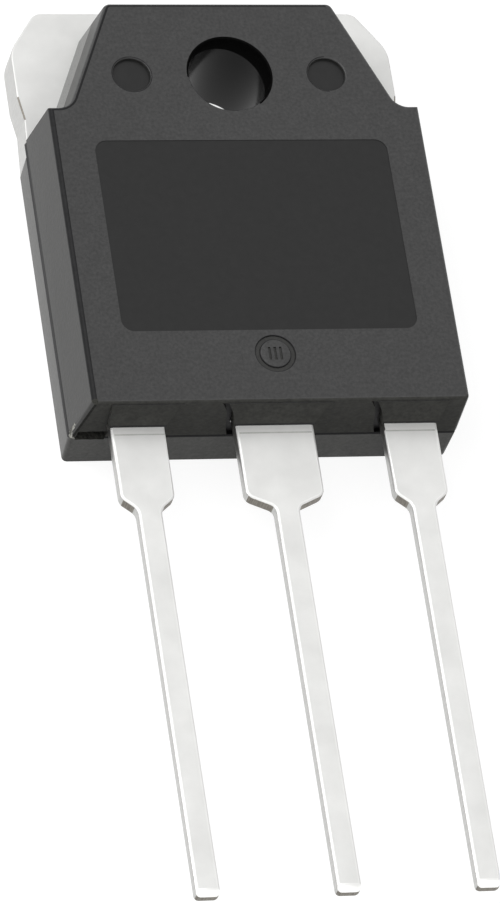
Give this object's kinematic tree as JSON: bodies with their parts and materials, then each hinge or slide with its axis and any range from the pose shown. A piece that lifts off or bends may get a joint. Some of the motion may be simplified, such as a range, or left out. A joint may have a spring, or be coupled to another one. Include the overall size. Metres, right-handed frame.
{
  "type": "power transistor",
  "caption": "Flat moulded power transistor with a screw-mounted metal heat spreader, a tab with a hole, and flat tinned leads for soldering.",
  "frame": {"origin": "centre of the screw hole on the mounting face, which is the heat spreader's bare back", "axes": "+Z out of the moulded front, away from the mounting face; +Y from the leads towards the tab's top; +X across the leads, from the base lead to the emitter lead"},
  "size_m": [0.0156, 0.0396, 0.0048],
  "materials": {
    "epoxy": "matte",
    "tinned_copper": "satin",
    "silicon": "satin",
    "solder": "satin",
    "aluminium_wire": "satin"
  },
  "bodies": {
    "root": {"package_body": "epoxy", "heat_spreader": "tinned_copper", "base_lead": "tinned_copper", "emitter_lead": "tinned_copper", "silicon_die": "silicon", "die_attach_solder": "solder", "base_bond_wire": "aluminium_wire", "emitter_bond_wires": "aluminium_wire"}
  },
  "joints": []
}
